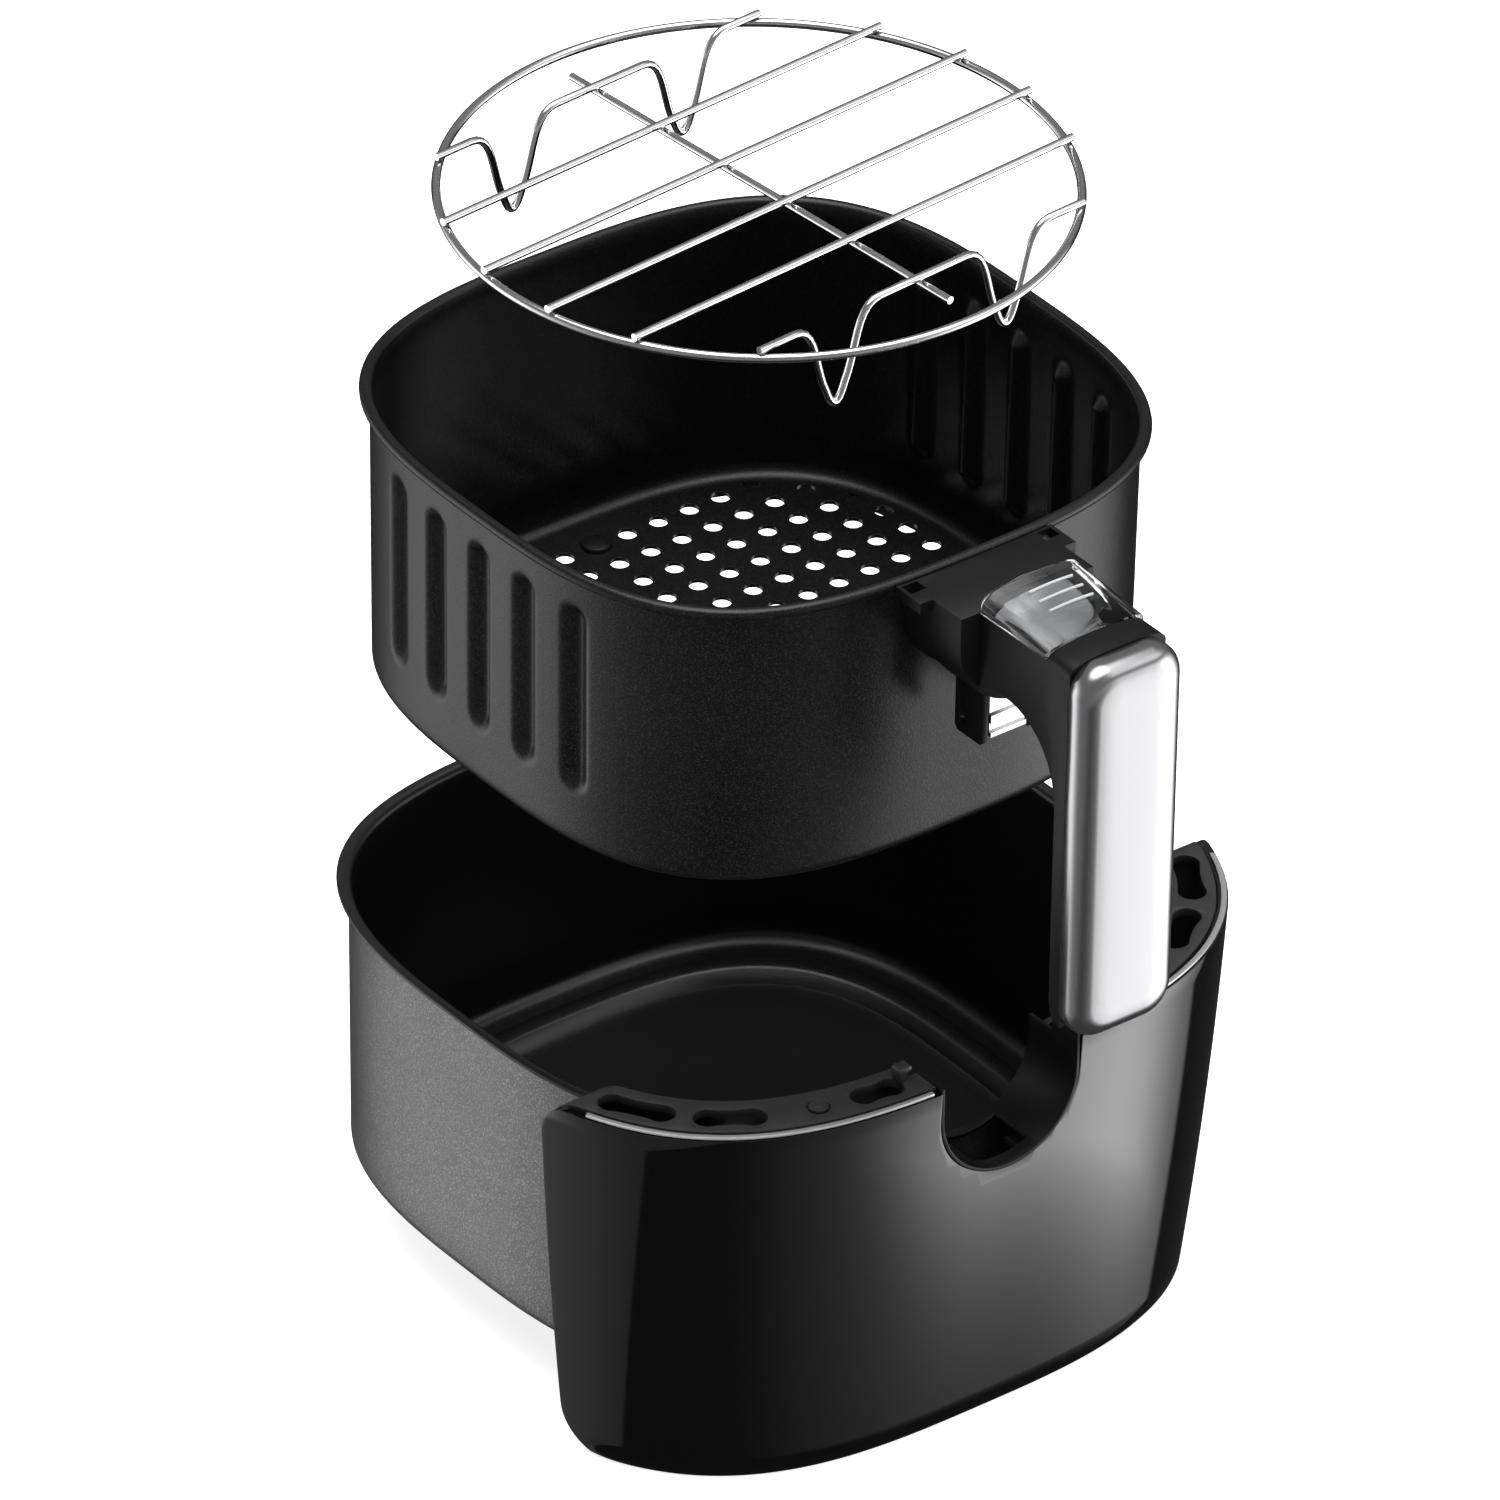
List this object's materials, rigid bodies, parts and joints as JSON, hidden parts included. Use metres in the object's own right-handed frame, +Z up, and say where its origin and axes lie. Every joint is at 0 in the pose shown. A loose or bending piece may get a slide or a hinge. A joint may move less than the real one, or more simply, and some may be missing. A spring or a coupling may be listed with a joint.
{
  "type": "air fryer",
  "caption": "Air fryer drawer set pulled apart: pan with curved gloss front, perforated basket with upright handle and guarded release button, and round wire rack on bent feet.",
  "frame": {"origin": "middle of the pan's underside, which the housing's floor carries", "axes": "+Z up, the handle points along -Y, +X to the right seen from behind the handle's back"},
  "size_m": [0.2648, 0.3135, 0.3996],
  "materials": {
    "pan_coating": "satin dark grey coating",
    "basket_coating": "satin black coating",
    "panel_gloss": "high gloss black",
    "frame_plastic": "fine matt dark grey",
    "handle_plastic": "matt black",
    "silver_cover": "satin silver paint",
    "silver_trim": "satin silver paint",
    "clear_plastic": "clear",
    "chromed_wire": "polished",
    "chromed_steel": "polished",
    "plain_steel": "plain"
  },
  "bodies": {
    "drawer": {"pan_body": "pan_coating", "front_panel": "panel_gloss", "panel_frame": "frame_plastic", "handle_cradle": "handle_plastic", "latch_catch": "plain_steel", "panel_trim_left": "silver_trim", "panel_trim_right": "silver_trim", "cradle_clip_left": "frame_plastic", "cradle_clip_right": "frame_plastic", "pan_strap_left": "plain_steel", "pan_strap_right": "plain_steel", "panel_screw_left": "plain_steel", "panel_screw_right": "plain_steel"},
    "basket": {"basket_body": "basket_coating", "handle_bracket": "handle_plastic", "handle_arm": "handle_plastic", "grip_cover": "silver_cover", "grip_screw_1": "plain_steel", "grip_screw_2": "plain_steel", "button_spring": "plain_steel", "latch_pin": "plain_steel", "latch_spring": "plain_steel", "bracket_rivet_left": "plain_steel", "bracket_rivet_right": "plain_steel"},
    "guard": {"button_guard": "clear_plastic"},
    "button": {"release_button": "silver_trim"},
    "latch": {"latch_lever": "chromed_steel"},
    "rack": {"rack_ring": "chromed_wire", "rack_wire_1": "chromed_wire", "rack_wire_2": "chromed_wire", "rack_wire_3": "chromed_wire", "rack_wire_4": "chromed_wire", "rack_leg_wire_back": "chromed_wire", "rack_leg_wire_front": "chromed_wire", "rack_cross_wire": "chromed_wire"}
  },
  "joints": [
    {"name": "basket_lift", "type": "slide", "parent": "drawer", "child": "basket", "axis": [0, 0, 1], "range_m": [-0.178, 0]},
    {"name": "rack_lift", "type": "slide", "parent": "basket", "child": "rack", "axis": [0, 0, 1], "range_m": [-0.145, 0]},
    {"name": "guard_slide", "type": "slide", "parent": "basket", "child": "guard", "axis": [0, 1, 0], "range_m": [0, 0.02]},
    {"name": "button_press", "type": "slide", "parent": "basket", "child": "button", "axis": [0, 0, -1], "range_m": [0, 0.004], "stiffness_N_per_m": 300, "springref_m": -0.004, "deforming": ["button_spring"]},
    {"name": "latch_swing", "type": "hinge", "parent": "basket", "child": "latch", "pos_m": [0, -0.13, 0.272], "axis": [1, 0, 0], "range_deg": [0, 6]}
  ],
  "couplings": [
    {"joint": "latch_swing", "follows": "button_press", "rad_per_m": 26}
  ]
}
